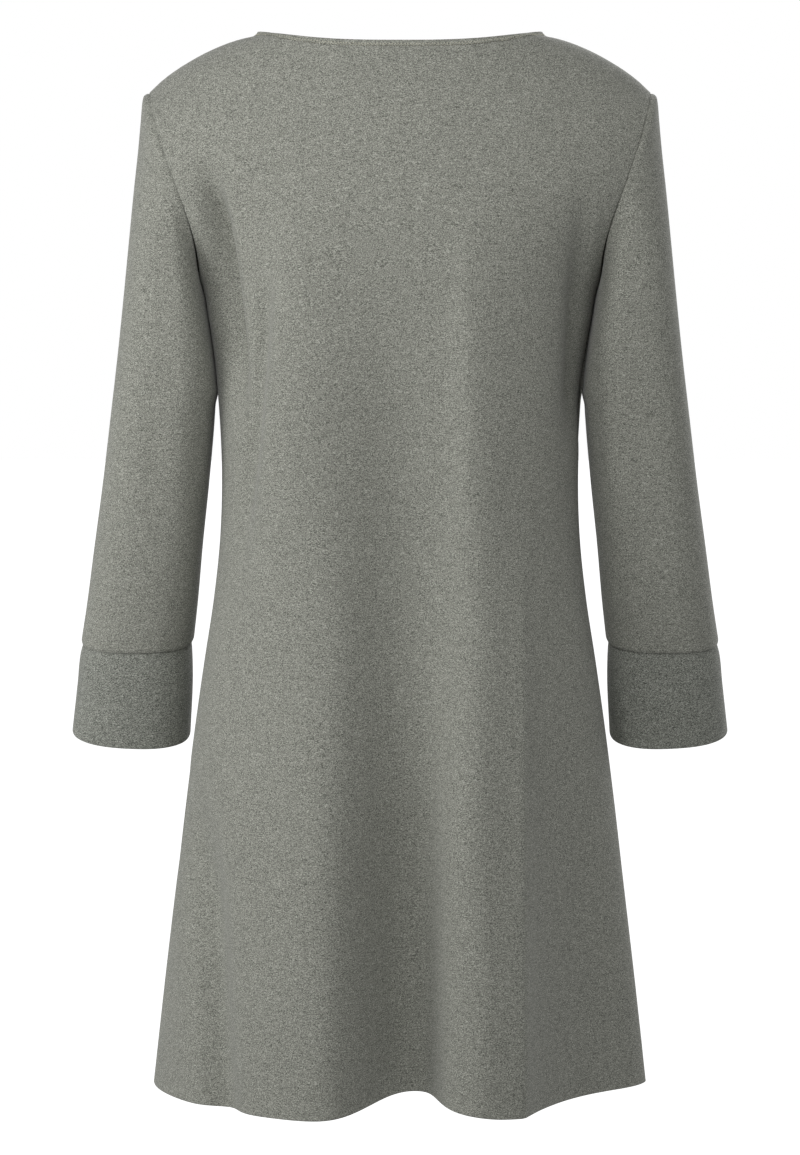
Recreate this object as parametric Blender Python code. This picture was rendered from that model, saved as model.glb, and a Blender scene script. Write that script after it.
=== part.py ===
"""An a-line dress with set-in sleeves and deep cuffs, filled out as it hangs on a general figure.

The tables are in millimetres. +X is the wearer's left, -Y the front, and +Z is up. The origin is the
middle of the line between the neck ends of the two shoulder seams, where the wearer holds the dress up.
"""

from collections import namedtuple
from math import acos, cos, exp, pi, radians, sin, sqrt

import bmesh
import bpy
import numpy as np
from mathutils import Vector

MM = 0.001
WALL = 1.5
SEAM_GAP = 0.3

BACK = 1
FRONT = -1

# Level sections of the whole body, from the top of the neckline to the hem. Each is a rounded oval.
# Above the underarm the half width is where the shoulder, carried on past the armhole, would end.
BodySection = namedtuple("BodySection", "height half_width back_depth front_depth roundness")
BODY = (
    BodySection(-854, 203.6, 157.0, 144.0, 1.79),
    BodySection(-770, 194.0, 147.0, 138.0, 1.85),
    BodySection(-687, 184.0, 134.0, 131.0, 1.92),
    BodySection(-620, 176.0, 126.0, 125.0, 1.98),
    BodySection(-555, 167.5, 117.0, 119.0, 2.04),
    BodySection(-505, 160.2, 109.0, 114.0, 2.08),
    BodySection(-455, 152.4, 102.5, 110.0, 2.1),
    BodySection(-406, 147.0, 99.5, 107.5, 2.1),
    BodySection(-350, 145.2, 100.5, 110.5, 2.1),
    BodySection(-284, 148.8, 104.5, 118.5, 2.1),
    BodySection(-228, 155.8, 106.5, 121.5, 2.1),
    BodySection(-200, 161.0, 106.5, 118.5, 2.1),
    BodySection(-180, 170.5, 105.8, 114.5, 2.1),
    BodySection(-157, 189.0, 104.2, 107.5, 2.1),
    BodySection(-120, 222.0, 99.5, 93.0, 2.1),
    BodySection(-86, 232.0, 92.0, 79.0, 2.08),
    BodySection(-62, 222.0, 85.0, 69.0, 2.05),
    BodySection(-44, 202.5, 79.0, 61.5, 2.0),
    BodySection(-33, 190.5, 75.0, 57.0, 2.0),
    BodySection(-21.6, 173.9, 71.0, 52.5, 2.0),
    BodySection(-9.6, 151.2, 66.6, 47.5, 2.0),
    BodySection(-5.6, 141.5, 65.3, 45.8, 2.0),
    BodySection(-1.6, 128.6, 64.0, 44.2, 2.0),
    BodySection(0.5, 118.6, 63.2, 43.4, 2.0),
    BodySection(2.4, 116.0, 62.4, 42.6, 2.0),
    BodySection(4.3, 114.8, 61.5, 42.0, 2.0),
)
NECK_TOP = 4.3
BACK_NECK_DROP = 12.4
FRONT_NECK_DROP = 102.0
SHOULDER_TIP = -44
UNDERARM = -195
CHEST = -238
HEM = -854

# How far the armhole is cut into each panel, past the straight line from shoulder tip to underarm.
BACK_ARMHOLE_CUT = 3.8
FRONT_ARMHOLE_CUT = 4.0

# Folds that run down a panel and take it in. fade_in is the share of a fold's length over which it
# deepens, and fade_out the share over which it dies away again.
Fold = namedtuple("Fold", "top_x top_z low_x low_z minus_width plus_width sharpness depth fade_in fade_out")
BACK_FOLDS = (
    Fold(-10, -270, -12, HEM, 39, 47, 2.4, 73, 1.0, 0.0),
    Fold(152, -55, 148, -230, 11, 11, 2.0, 3.0, 0.5, 0.5),
    Fold(104, -140, 129, -345, 11, 13, 2.0, 3.5, 0.4, 0.5),
    Fold(-137, -120, -143, -440, 13, 13, 2.0, 6.0, 0.4, 0.5),
)
FRONT_FOLDS = (
    Fold(-46, -300, -60, HEM, 40, 44, 2.2, 44, 1.0, 0.0),
    Fold(58, -330, 76, HEM, 36, 40, 2.2, 38, 1.0, 0.0),
    Fold(-138, -110, -128, -330, 14, 15, 2.0, 4.5, 0.4, 0.5),
    Fold(138, -110, 126, -330, 14, 15, 2.0, 4.5, 0.4, 0.5),
)
HEM_RISE = 10.6
HEM_RISE_X = -12
HEM_RISE_WIDTH = 43

# One flank of the back lies flat, from a soft edge to the side seam.
FLANK_START = 98
FLANK_TOP = -330
FLANK_SHARE = 0.52
FLANK_END = 0.89

# Sections of a sleeve: its outer and inner edge seen from behind, half its depth, how far back its
# middle lies, and how far its rear edge dips below its middle.
TubeSection = namedtuple("TubeSection", "outer_x outer_z inner_x inner_z half_depth middle_y dip")
SLEEVE = (
    TubeSection(203.4, -44, 162.9, -195, 58.5, 0, 0),
    TubeSection(207.4, -46.5, 162.7, -198, 58.8, 0, 0),
    TubeSection(208.6, -52, 162.1, -202, 59.2, 0, 0),
    TubeSection(209.4, -63, 161.0, -208, 59.8, 0, 0),
    TubeSection(211.5, -89, 159.4, -217, 60.2, 0, 0),
    TubeSection(214.8, -121, 157.4, -229, 60.0, 0, 0),
    TubeSection(219.0, -163, 154.9, -246, 58.5, 0, 1),
    TubeSection(223.8, -209, 152.5, -267, 56.5, -1, 2),
    TubeSection(229.0, -254, 151.0, -289, 54.0, -3, 3),
    TubeSection(235.4, -304, 152.0, -311, 51.5, -5, 4),
    TubeSection(243.0, -360, 156.8, -362, 49.0, -10, 5),
    TubeSection(251.0, -411, 162.5, -412, 46.5, -18, 6),
    TubeSection(258.4, -459, 167.2, -459, 44.2, -27, 7),
    TubeSection(264.2, -491.5, 171.2, -491.5, 42.5, -34, 7.5),
)
# The sleeve keeps this far from the body's side.
SLEEVE_CLEARANCE = 0.6
# The sleeve's first rings keep the armhole's own shape, which fades out by this section.
SLEEVE_HEAD = 5
CUFF = (
    TubeSection(261.2, -486.0, 173.0, -486.0, 40.3, -32.8, 7.5),
    TubeSection(262.3, -492.0, 173.3, -492.0, 40.5, -34.2, 7.5),
    TubeSection(265.0, -501.0, 172.8, -501.0, 41.4, -36.2, 7.8),
    TubeSection(268.2, -526.0, 172.7, -526.0, 42.0, -41.2, 8.8),
    TubeSection(273.6, -566.0, 175.4, -571.0, 43.0, -49.5, 10.2),
)

# Where the ends of the neckline and shoulder seam come down on the chest, in degrees from the centre.
NECK_ANGLE = {BACK: 41, FRONT: 50}
SHOULDER_ANGLE = {BACK: 51, FRONT: 55}
SIDE_ANGLE = 90
# How late a column drifts sideways on its way down to the chest. 1 is evenly.
COLUMN_DRIFT = {BACK: 1.5, FRONT: 1.0}

NECK_CELLS = 12
SHOULDER_HEIGHTS = (4.3, 0.5, -4.0, -13.0, -27.0, -44.0)
ARMHOLE_CELLS = 10
YOKE_CELLS = 9
SKIRT_CELLS = 15
TUBE_CELLS = 2 * ARMHOLE_CELLS
SLEEVE_CELLS = 16
CUFF_CELLS = 5

CLOTH_COLOUR = (0.26, 0.265, 0.235, 1.0)


def smooth(share):
    """0 to 1 with no jump in slope at either end."""
    share = min(1.0, max(0.0, share))
    return share * share * (3 - 2 * share)


def along(places, values, place):
    """A smooth curve through a table's values, read at a place between them. Places ascend."""
    slopes = np.gradient(values, places, axis=0)
    i = int(np.clip(np.searchsorted(places, place) - 1, 0, len(places) - 2))
    span = places[i + 1] - places[i]
    t = (place - places[i]) / span
    start, end = values[i], values[i + 1]
    leave, arrive = slopes[i] * span, slopes[i + 1] * span
    turn = 3 * (end - start) - 2 * leave - arrive
    return start + leave * t + turn * t**2 + (2 * (start - end) + leave + arrive) * t**3


def body_section(height):
    rows = np.array(BODY, float)
    return BodySection(*along(rows[:, 0], rows, height))


def depth_share(x, section):
    """How much of its full depth a section has at x."""
    share = min(1.0, abs(x) / section.half_width)
    return (1 - share**section.roundness) ** (1 / section.roundness)


def fold_depth(folds, x, z):
    """How far the folds take the cloth in from the smooth form."""
    total = 0.0
    for fold in folds:
        share = (fold.top_z - z) / (fold.top_z - fold.low_z)
        if not 0 < share < 1.001:
            continue
        centre = fold.top_x + (fold.low_x - fold.top_x) * share
        width = fold.minus_width if x < centre else fold.plus_width
        strength = smooth(share / fold.fade_in)
        if fold.fade_out:
            strength *= smooth((1 - share) / fold.fade_out)
        total += fold.depth * strength * exp(-(abs((x - centre) / width) ** fold.sharpness))
    return total


def flank_share(section, x):
    """How much of its depth the back keeps where its flank lies flat."""
    end = FLANK_END * section.half_width
    across = min(1.0, max(0.0, (-x - FLANK_START) / (end - FLANK_START)))
    down = smooth((FLANK_TOP - section.height) / (FLANK_TOP - HEM))
    return 1 - FLANK_SHARE * down * (1 - (1 - across) ** 2)


def body_point(side, x, height):
    """The point of a panel at x and this height, with the panel's folds in it."""
    section = body_section(height)
    share = min(1.0, abs(x) / section.half_width)
    y = depth_share(x, section) * (section.back_depth if side == BACK else section.front_depth)
    folds = BACK_FOLDS if side == BACK else FRONT_FOLDS
    y -= smooth(sqrt(1 - share * share) / 0.35) * fold_depth(folds, x, height)
    if side == BACK:
        y *= flank_share(section, x)
    return Vector((x, side * y, height))


def neck_height(side, x):
    """The height of the neckline at x."""
    share = min(1.0, abs(x) / body_section(NECK_TOP).half_width)
    if side == BACK:
        return NECK_TOP - BACK_NECK_DROP * (1 - share**2.7)
    return NECK_TOP - FRONT_NECK_DROP * (1 - share**2) ** 0.92


def armhole_place(side, turn):
    """x and height of the armhole on the +X side. turn is 0 at the shoulder and pi at the underarm."""
    tip = body_section(SHOULDER_TIP).half_width
    low = body_section(UNDERARM).half_width
    cut = BACK_ARMHOLE_CUT if side == BACK else FRONT_ARMHOLE_CUT
    x = (tip + low) / 2 + (tip - low) / 2 * cos(turn)
    x -= cut * (sin(turn) * (1 - cos(turn))) ** 2
    return x, (SHOULDER_TIP + UNDERARM) / 2 + (SHOULDER_TIP - UNDERARM) / 2 * cos(turn)


def side_limit(side, height):
    """The greatest x of a panel at this height: the armhole's above the underarm, and the body's below."""
    if height <= UNDERARM or height >= SHOULDER_TIP:
        return body_section(height).half_width
    middle = (SHOULDER_TIP + UNDERARM) / 2
    return armhole_place(side, acos((height - middle) / (SHOULDER_TIP - middle)))[0]


# A panel's column: where it starts on the top edge, where it crosses the chest, in degrees from the
# centre, how slowly it leaves the top edge, how much it keeps to the body's side rather than to the
# armhole, and whether it starts on the armhole or a shoulder seam.
Column = namedtuple("Column", "x height angle slowness sideways on_armhole on_seam")


def half_columns(side):
    """The columns of one half of a panel, from the centre to the side seam."""
    edge = body_section(NECK_TOP).half_width
    columns = []
    for i in range(NECK_CELLS):
        turn = pi / 2 * (i / NECK_CELLS) ** 0.9
        x = edge * sin(turn)
        angle = NECK_ANGLE[side] * i / NECK_CELLS
        columns.append(Column(x, neck_height(side, x), angle, 1 + sin(turn) ** 8, 0, False, False))
    last = len(SHOULDER_HEIGHTS) - 1
    for i, height in enumerate(SHOULDER_HEIGHTS):
        x = body_section(height).half_width
        angle = NECK_ANGLE[side] + (SHOULDER_ANGLE[side] - NECK_ANGLE[side]) * i / last
        columns.append(Column(x, height, angle, 2, 0, i == last, True))
    for i in range(1, ARMHOLE_CELLS + 1):
        turn = pi * i / ARMHOLE_CELLS
        x, height = armhole_place(side, turn)
        share = i / ARMHOLE_CELLS
        angle = SHOULDER_ANGLE[side] + (SIDE_ANGLE - SHOULDER_ANGLE[side]) * share**1.8
        slowness = 1 + max(0.0, cos(turn)) ** 0.7
        sideways = smooth((share - 0.42) / 0.35)
        columns.append(Column(x, height, angle, slowness, sideways, True, False))
    return columns


def column_points(side, column, mirror):
    """The points of one column from the top edge to the hem, on the side that mirror gives."""
    low_share = sin(radians(column.angle))
    chest = body_section(CHEST)
    low_x = low_share * chest.half_width
    top_depth = depth_share(column.x, body_section(column.height))
    low_depth = depth_share(low_x, chest)
    points = []
    for i in range(YOKE_CELLS):
        share = i / YOKE_CELLS
        height = column.height + (CHEST - column.height) * share**column.slowness
        if column.on_armhole:
            fallen = share**column.slowness
            section = body_section(height)
            x = side_limit(side, height) * (1 - (1 - low_share) * fallen**0.8)
            depth = top_depth + (low_depth - top_depth) * fallen
            held = section.half_width * (1 - depth**section.roundness) ** (1 / section.roundness)
            x += (held - x) * column.sideways
        else:
            x = column.x + (low_x - column.x) * share ** COLUMN_DRIFT[side]
        points.append(body_point(side, mirror * x, height))
    hem_x = mirror * low_share * body_section(HEM).half_width
    hem = HEM
    if side == BACK:
        hem += HEM_RISE * exp(-(((hem_x - HEM_RISE_X) / HEM_RISE_WIDTH) ** 2))
    for i in range(SKIRT_CELLS + 1):
        height = CHEST + (hem - CHEST) * i / SKIRT_CELLS
        x = mirror * low_share * body_section(height).half_width
        points.append(body_point(side, x, height))
    return points


def tube_turn(j):
    """The turn of a tube's point j, from -pi to pi. 0 is the outer edge, and positive is behind."""
    turn = 2 * pi * j / TUBE_CELLS
    return turn if turn <= pi else turn - 2 * pi


def tube_point(section, turn, mirror):
    x = (section.outer_x + section.inner_x) / 2 + (section.outer_x - section.inner_x) / 2 * cos(turn)
    z = (section.outer_z + section.inner_z) / 2 + (section.outer_z - section.inner_z) / 2 * cos(turn)
    y = section.middle_y + section.half_depth * sin(turn)
    return Vector((x * mirror, y, z - section.dip * sin(turn)))


def tube_rings(table, cells, mirror):
    """Rings of points down a tube and how far down the table each one is, in sections."""
    rows = np.array(table, float)
    steps = np.linalg.norm(np.diff(rows[:, :2], axis=0), axis=1)
    steps += np.linalg.norm(np.diff(rows[:, 2:4], axis=0), axis=1)
    places = np.concatenate([[0], np.cumsum(steps**0.7)])
    stops = np.linspace(0, places[-1], cells + 1)
    rings = []
    for stop in stops:
        section = TubeSection(*along(places, rows, stop))
        closest = body_section(section.inner_z).half_width + SLEEVE_CLEARANCE
        section = section._replace(inner_x=max(section.inner_x, closest))
        rings.append([tube_point(section, tube_turn(j), mirror) for j in range(TUBE_CELLS)])
    return rings, np.interp(stops, places, np.arange(len(table)))


def sleeve_rings(mirror):
    """The sleeve's rings. The first follows the armhole that the panels leave, just outside it."""
    rings, numbers = tube_rings(SLEEVE, SLEEVE_CELLS, mirror)
    shifts = []
    for j, point in enumerate(rings[0]):
        turn = tube_turn(j)
        side = BACK if turn >= 0 else FRONT
        x, height = armhole_place(side, abs(turn))
        seam = body_point(side, mirror * x, height)
        seam.x += mirror * (SEAM_GAP + 0.1)
        shifts.append(seam - point)
    for ring, number in zip(rings, numbers):
        keep = max(0.0, 1 - number / SLEEVE_HEAD) ** 1.5
        for point, shift in zip(ring, shifts):
            point += shift * keep
    return rings


# A piece of cloth: its outer points in lines that run down it, the way out at each one, whether its
# last line meets its first, and which way round its faces go.
Cloth = namedtuple("Cloth", "name lines outs closed facing")


def outward(lines, i, j, closed, facing):
    """The way out of the cloth at a point of its grid of points."""
    last = len(lines) - 1
    before = lines[i - 1] if closed or i > 0 else lines[0]
    after = lines[(i + 1) % len(lines)] if closed or i < last else lines[last]
    line = lines[i]
    across = after[j] - before[j]
    down = line[min(j + 1, len(line) - 1)] - line[max(j - 1, 0)]
    return across.cross(down).normalized() * facing


def cloth(name, lines, closed, facing):
    outs = [
        [outward(lines, i, j, closed, facing) for j in range(len(line))]
        for i, line in enumerate(lines)
    ]
    return Cloth(name, lines, outs, closed, facing)


def panel(side, name):
    """A whole panel, its lines running from the -X side seam to the +X one."""
    half = half_columns(side)
    columns = [(column, -1) for column in reversed(half[1:])] + [(column, 1) for column in half]
    shift = Vector((0, side * SEAM_GAP / 2, 0))
    lines = [[point + shift for point in column_points(side, column, mirror)] for column, mirror in columns]
    piece = cloth(name, lines, False, side)
    seams = [piece.outs[i][0] for i, (column, _) in enumerate(columns) if column.on_seam]
    for out in seams + piece.outs[0] + piece.outs[-1]:
        out.y = 0
        out.normalize()
    return piece


def tube(name, rings, mirror):
    return cloth(name, [list(line) for line in zip(*rings)], True, -mirror)


def join_armhole(sleeve, panels, mirror):
    """Cuts the panels' and the sleeve's edges to meet at one angle, but not below, where they part."""
    for side, piece in panels.items():
        for i in range(ARMHOLE_CELLS + 1):
            edge = piece.outs[ARMHOLE_CELLS - i if mirror < 0 else i - ARMHOLE_CELLS - 1][0]
            ring = sleeve.outs[(side * i) % TUBE_CELLS][0]
            middle = (edge + ring).normalized()
            share = smooth((cos(pi * i / ARMHOLE_CELLS) + 0.3) / 0.5)
            for out in (edge, ring):
                out[:] = out.lerp(middle, share).normalized()


def cloth_object(piece, material):
    """The closed solid of a piece of cloth, with its wall on the inside."""
    bm = bmesh.new()
    outer = [[bm.verts.new(point * MM) for point in line] for line in piece.lines]
    inner = [
        [bm.verts.new((point - out * WALL) * MM) for point, out in zip(line, outs)]
        for line, outs in zip(piece.lines, piece.outs)
    ]

    def face(*corners):
        bm.faces.new(corners if piece.facing > 0 else corners[::-1])

    around = len(outer)
    down = len(outer[0])
    for i in range(around if piece.closed else around - 1):
        k = (i + 1) % around
        for j in range(down - 1):
            face(outer[i][j], outer[k][j], outer[k][j + 1], outer[i][j + 1])
            face(inner[i][j], inner[i][j + 1], inner[k][j + 1], inner[k][j])
        face(outer[i][0], inner[i][0], inner[k][0], outer[k][0])
        face(outer[i][-1], outer[k][-1], inner[k][-1], inner[i][-1])
    if not piece.closed:
        for j in range(down - 1):
            face(outer[0][j], outer[0][j + 1], inner[0][j + 1], inner[0][j])
            face(outer[-1][j], inner[-1][j], inner[-1][j + 1], outer[-1][j + 1])
    mesh = bpy.data.meshes.new(piece.name)
    bm.to_mesh(mesh)
    bm.free()
    mesh.materials.append(material)
    mesh.shade_smooth()
    return bpy.data.objects.new(piece.name, mesh)


def cloth_material():
    material = bpy.data.materials.new("sage_jersey")
    material.use_nodes = True
    shader = material.node_tree.nodes["Principled BSDF"]
    shader.inputs["Base Color"].default_value = CLOTH_COLOUR
    shader.inputs["Roughness"].default_value = 0.85
    shader.inputs["Metallic"].default_value = 0.0
    return material


def main():
    for obj in list(bpy.data.objects):
        bpy.data.objects.remove(obj, do_unlink=True)
    dress = bpy.data.collections.new("a_line_dress")
    bpy.context.scene.collection.children.link(dress)
    panels = {BACK: panel(BACK, "back_panel"), FRONT: panel(FRONT, "front_panel")}
    pieces = list(panels.values())
    for word, mirror in (("left", 1), ("right", -1)):
        sleeve = tube(f"sleeve_{word}", sleeve_rings(mirror), mirror)
        join_armhole(sleeve, panels, mirror)
        rings, _ = tube_rings(CUFF, CUFF_CELLS, mirror)
        pieces += [sleeve, tube(f"cuff_{word}", rings, mirror)]
    material = cloth_material()
    for piece in pieces:
        dress.objects.link(cloth_object(piece, material))


main()
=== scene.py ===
"""The looks of an a-line dress of melange jersey, filled out as it hangs on a general figure.

The tables are in millimetres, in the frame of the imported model: +X is the wearer's left, -Y the front,
and +Z is up. Each piece is a thin wall of cloth on its solid's form, with finer folds, rolled seams and
sewn edges.
"""

from collections import namedtuple
from math import cos, pi, radians, sin

import bpy
import numpy as np
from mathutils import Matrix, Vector
from mathutils.bvhtree import BVHTree
from mathutils.kdtree import KDTree


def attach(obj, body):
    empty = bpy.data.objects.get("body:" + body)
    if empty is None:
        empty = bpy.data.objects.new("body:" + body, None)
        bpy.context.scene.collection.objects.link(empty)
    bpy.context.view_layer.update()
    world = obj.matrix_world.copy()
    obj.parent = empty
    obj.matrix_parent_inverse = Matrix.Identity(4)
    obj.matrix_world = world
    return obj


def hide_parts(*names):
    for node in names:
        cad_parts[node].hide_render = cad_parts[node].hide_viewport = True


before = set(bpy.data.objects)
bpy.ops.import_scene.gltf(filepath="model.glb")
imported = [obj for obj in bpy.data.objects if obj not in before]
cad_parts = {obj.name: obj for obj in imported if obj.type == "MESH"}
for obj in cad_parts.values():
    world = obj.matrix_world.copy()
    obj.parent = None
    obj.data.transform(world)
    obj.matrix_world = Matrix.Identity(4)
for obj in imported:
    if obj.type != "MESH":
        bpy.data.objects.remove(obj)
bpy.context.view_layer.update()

MM = 0.001
BODY = "root"

BACK = 1
FRONT = -1

# The cloth, and how far it is turned in at an edge that nothing is sewn to.
CLOTH = 1.1
HEM_TURN = 22.0
HEM_EXTRA = 0.7
SEAM_GAP = 0.1

# Level sections of the whole body, from the hem to the top of the neckline, as the solids have them.
BodySection = namedtuple("BodySection", "height half_width back_depth front_depth roundness")
BODY_SECTIONS = (
    BodySection(-854, 203.6, 157.0, 144.0, 1.79),
    BodySection(-770, 194.0, 147.0, 138.0, 1.85),
    BodySection(-687, 184.0, 134.0, 131.0, 1.92),
    BodySection(-620, 176.0, 126.0, 125.0, 1.98),
    BodySection(-555, 167.5, 117.0, 119.0, 2.04),
    BodySection(-505, 160.2, 109.0, 114.0, 2.08),
    BodySection(-455, 152.4, 102.5, 110.0, 2.1),
    BodySection(-406, 147.0, 99.5, 107.5, 2.1),
    BodySection(-350, 145.2, 100.5, 110.5, 2.1),
    BodySection(-284, 148.8, 104.5, 118.5, 2.1),
    BodySection(-228, 155.8, 106.5, 121.5, 2.1),
    BodySection(-200, 161.0, 106.5, 118.5, 2.1),
    BodySection(-180, 170.5, 105.8, 114.5, 2.1),
    BodySection(-157, 189.0, 104.2, 107.5, 2.1),
    BodySection(-120, 222.0, 99.5, 93.0, 2.1),
    BodySection(-86, 232.0, 92.0, 79.0, 2.08),
    BodySection(-62, 222.0, 85.0, 69.0, 2.05),
    BodySection(-44, 202.5, 79.0, 61.5, 2.0),
    BodySection(-33, 190.5, 75.0, 57.0, 2.0),
    BodySection(-21.6, 173.9, 71.0, 52.5, 2.0),
    BodySection(-9.6, 151.2, 66.6, 47.5, 2.0),
    BodySection(-5.6, 141.5, 65.3, 45.8, 2.0),
    BodySection(-1.6, 128.6, 64.0, 44.2, 2.0),
    BodySection(0.5, 118.6, 63.2, 43.4, 2.0),
    BodySection(2.4, 116.0, 62.4, 42.6, 2.0),
    BodySection(4.3, 114.8, 61.5, 42.0, 2.0),
)
BODY_ROWS = np.array(BODY_SECTIONS, float)
NECK_TOP = 4.3
BACK_NECK_DROP = 12.4
BACK_NECK_SQUARENESS = 2.7
FRONT_NECK_DROP = 102.0
FRONT_NECK_ROUNDNESS = 0.92
SHOULDER_TIP = -44
UNDERARM = -195
CHEST = -238
HEM = -854
BACK_ARMHOLE_CUT = 3.8
FRONT_ARMHOLE_CUT = 4.0

# Folds that run down a panel and take it in. fade_in is the share of a fold's length over which it
# deepens, and fade_out the share over which it dies away again. A negative depth is a ridge.
Fold = namedtuple("Fold", "top_x top_z low_x low_z minus_width plus_width sharpness depth fade_in fade_out")
LARGE_FOLDS = {
    BACK: (Fold(-10, -270, -12, HEM, 39, 47, 2.4, 73, 1.0, 0.0),),
    FRONT: (
        Fold(-46, -300, -60, HEM, 40, 44, 2.2, 44, 1.0, 0.0),
        Fold(58, -330, 76, HEM, 36, 40, 2.2, 38, 1.0, 0.0),
    ),
}
CREASES = {
    BACK: (
        Fold(6, -130, -10, -640, 46, 50, 2.0, 17.0, 0.4, 0.6),
        Fold(-54, -110, -54, -600, 28, 13, 2.0, -6.8, 0.3, 0.5),
        Fold(-52, -440, -50, HEM, 18, 22, 2.0, -12.0, 0.5, 0.0),
        Fold(-104, -90, -102, -440, 26, 34, 2.0, -4.5, 0.4, 0.5),
        Fold(84, -100, 110, -560, 42, 20, 2.0, -9.5, 0.22, 0.5),
        Fold(97, -150, 129, -450, 8, 8, 2.0, 10.0, 0.35, 0.45),
        Fold(153, -85, 125, -330, 9, 10, 2.0, 20.0, 0.3, 0.4),
        Fold(166, -580, 147, -850, 17, 12, 2.0, 16.0, 0.45, 0.0),
        Fold(-147, -90, -138, -340, 9, 10, 2.0, 9.0, 0.6, 0.25),
        Fold(-98, -330, -99, HEM, 8, 9, 2.0, -0.9, 0.3, 0.0),
    ),
    FRONT: (
        Fold(-138, -110, -128, -330, 14, 15, 2.0, 4.5, 0.4, 0.5),
        Fold(138, -110, 126, -330, 14, 15, 2.0, 4.5, 0.4, 0.5),
        Fold(102, -140, 92, -310, 10, 9, 2.0, 2.2, 0.4, 0.6),
        Fold(-96, -150, -104, -330, 9, 10, 2.0, 2.4, 0.4, 0.6),
        Fold(-8, -190, 4, -560, 30, 26, 2.0, 5.0, 0.4, 0.6),
        Fold(-126, -560, -140, -890, 18, 16, 2.0, 5.0, 0.5, 0.0),
        Fold(14, -420, 12, HEM, 15, 14, 2.0, -2.2, 0.4, 0.0),
    ),
}
# The large folds die away near a side seam, where less than this share of the depth is left.
LARGE_FOLD_EASE = 0.35
# Over this distance a crease dies away towards an armhole.
CREASE_EASE = 14.0

# The back's hem rises in its middle: by how much, at which x and how widely.
HEM_RISE = 10.6
HEM_RISE_X = -12
HEM_RISE_WIDTH = 43

# One flank of the back lies flat, from a soft edge to the side seam.
FLANK_START = 98
FLANK_TOP = -330
FLANK_SHARE = 0.52
FLANK_END = 0.89

# Sections of a sleeve: its outer and inner edge seen from behind, half its depth, how far back its
# middle lies, how far its rear edge dips below its middle, and how square it is, with 2 for an ellipse.
TubeSection = namedtuple("TubeSection", "outer_x outer_z inner_x inner_z half_depth middle_y dip square")
SLEEVE = (
    TubeSection(203.4, -44, 162.9, -195, 58.5, 0, 0, 2.0),
    TubeSection(207.4, -46.5, 162.7, -198, 58.8, 0, 0, 2.0),
    TubeSection(208.6, -52, 162.1, -202, 59.2, 0, 0, 2.05),
    TubeSection(209.4, -63, 161.0, -208, 59.8, 0, 0, 2.1),
    TubeSection(211.5, -89, 159.4, -217, 60.2, 0, 0, 2.3),
    TubeSection(214.8, -121, 157.4, -229, 60.0, 0, 0, 2.6),
    TubeSection(219.0, -163, 154.9, -246, 58.5, 0, 1, 2.9),
    TubeSection(223.8, -209, 152.5, -267, 56.5, -1, 2, 3.1),
    TubeSection(229.0, -254, 151.0, -289, 54.0, -3, 3, 3.1),
    TubeSection(235.4, -304, 152.0, -311, 51.5, -5, 4, 3.0),
    TubeSection(243.0, -360, 156.8, -362, 49.0, -10, 5, 2.8),
    TubeSection(251.0, -411, 162.5, -412, 46.5, -18, 6, 2.6),
    TubeSection(258.4, -459, 167.2, -459, 44.2, -27, 7, 2.5),
    TubeSection(264.2, -491.5, 171.2, -491.5, 42.5, -34, 7.5, 2.4),
)
# A sleeve's first sections give way to its armhole: how many do, and by which power. Points are drafted
# between sections by a power of their distance.
SLEEVE_HEAD = 5
HEAD_FADE = 1.5
SECTION_SPREAD = 0.7
# Down to here each sleeve lies against the body, and it parts from it over the next stretch.
TOUCH_END = -284
TOUCH_FADE = 14
CUFF = (
    TubeSection(261.2, -486.0, 173.0, -486.0, 40.3, -32.8, 7.5, 2.4),
    TubeSection(262.3, -492.0, 173.3, -492.0, 40.5, -34.2, 7.5, 2.4),
    TubeSection(265.0, -501.0, 172.8, -501.0, 41.4, -36.2, 7.8, 2.4),
    TubeSection(268.2, -526.0, 172.7, -526.0, 42.0, -41.2, 8.8, 2.4),
    TubeSection(273.6, -566.0, 175.4, -571.0, 43.0, -49.5, 10.2, 2.4),
)

# Where the ends of the neckline and shoulder seam come down on the chest, in degrees from the centre.
NECK_ANGLE = {BACK: 41, FRONT: 53}
SHOULDER_ANGLE = {BACK: 51, FRONT: 55}
SIDE_ANGLE = 90
SHOULDER_HEIGHTS = (4.3, 0.5, -4.0, -13.0, -27.0, -44.0)

# How a panel's lines run, all as powers of a share: how they crowd along the neckline and armhole, how late
# they set off down from their ends, and how soon they drift to their places on the chest.
NECK_CROWDING = 0.9
ARMHOLE_CROWDING = 1.8
NECK_LATENESS = 8
ARMHOLE_LATENESS = 0.7
COLUMN_DRIFT = {BACK: 1.5, FRONT: 1.0}
ARMHOLE_DRIFT = 0.8
# From this share of the armhole down, and over this one, lines keep to its edge and no longer to a depth.
SIDEWAYS_START = 0.42
SIDEWAYS_LENGTH = 0.35
# Lines that crowd together are evened out in this many steps, each this far of the way, and wholly so only
# this far from an edge.
EVENING_STEPS = 25
EVENING_SHARE = 0.5
EVENING_EASE = 30.0

# How finely the cloth is cut into cells. Two more lines run close to the side seam, at these shares of the
# armhole.
NECK_CELLS = 48
SHOULDER_CELLS = 20
ARMHOLE_CELLS = 40
NEAR_SIDE = (0.9855, 0.9937)
DRAFT_ROWS = 160
LONG_ROWS = 150
SLEEVE_ROWS = 120
CUFF_ROWS = 28
# Rows near a line's ends, by their distance from its end.
EDGE_ROWS = (0.0, 0.6, 1.2, 1.9, 2.7, 3.5, 4.1, 4.6, 5.1, 5.8, 7.0, 8.8)
FOOT_ROWS = (0.0, 0.6, 1.3, 2.2, 3.6)
# Where round an edge its points lie, from the outer face to the inner one.
EDGE_TURNS = (pi / 4, pi / 2, 3 * pi / 4)

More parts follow.
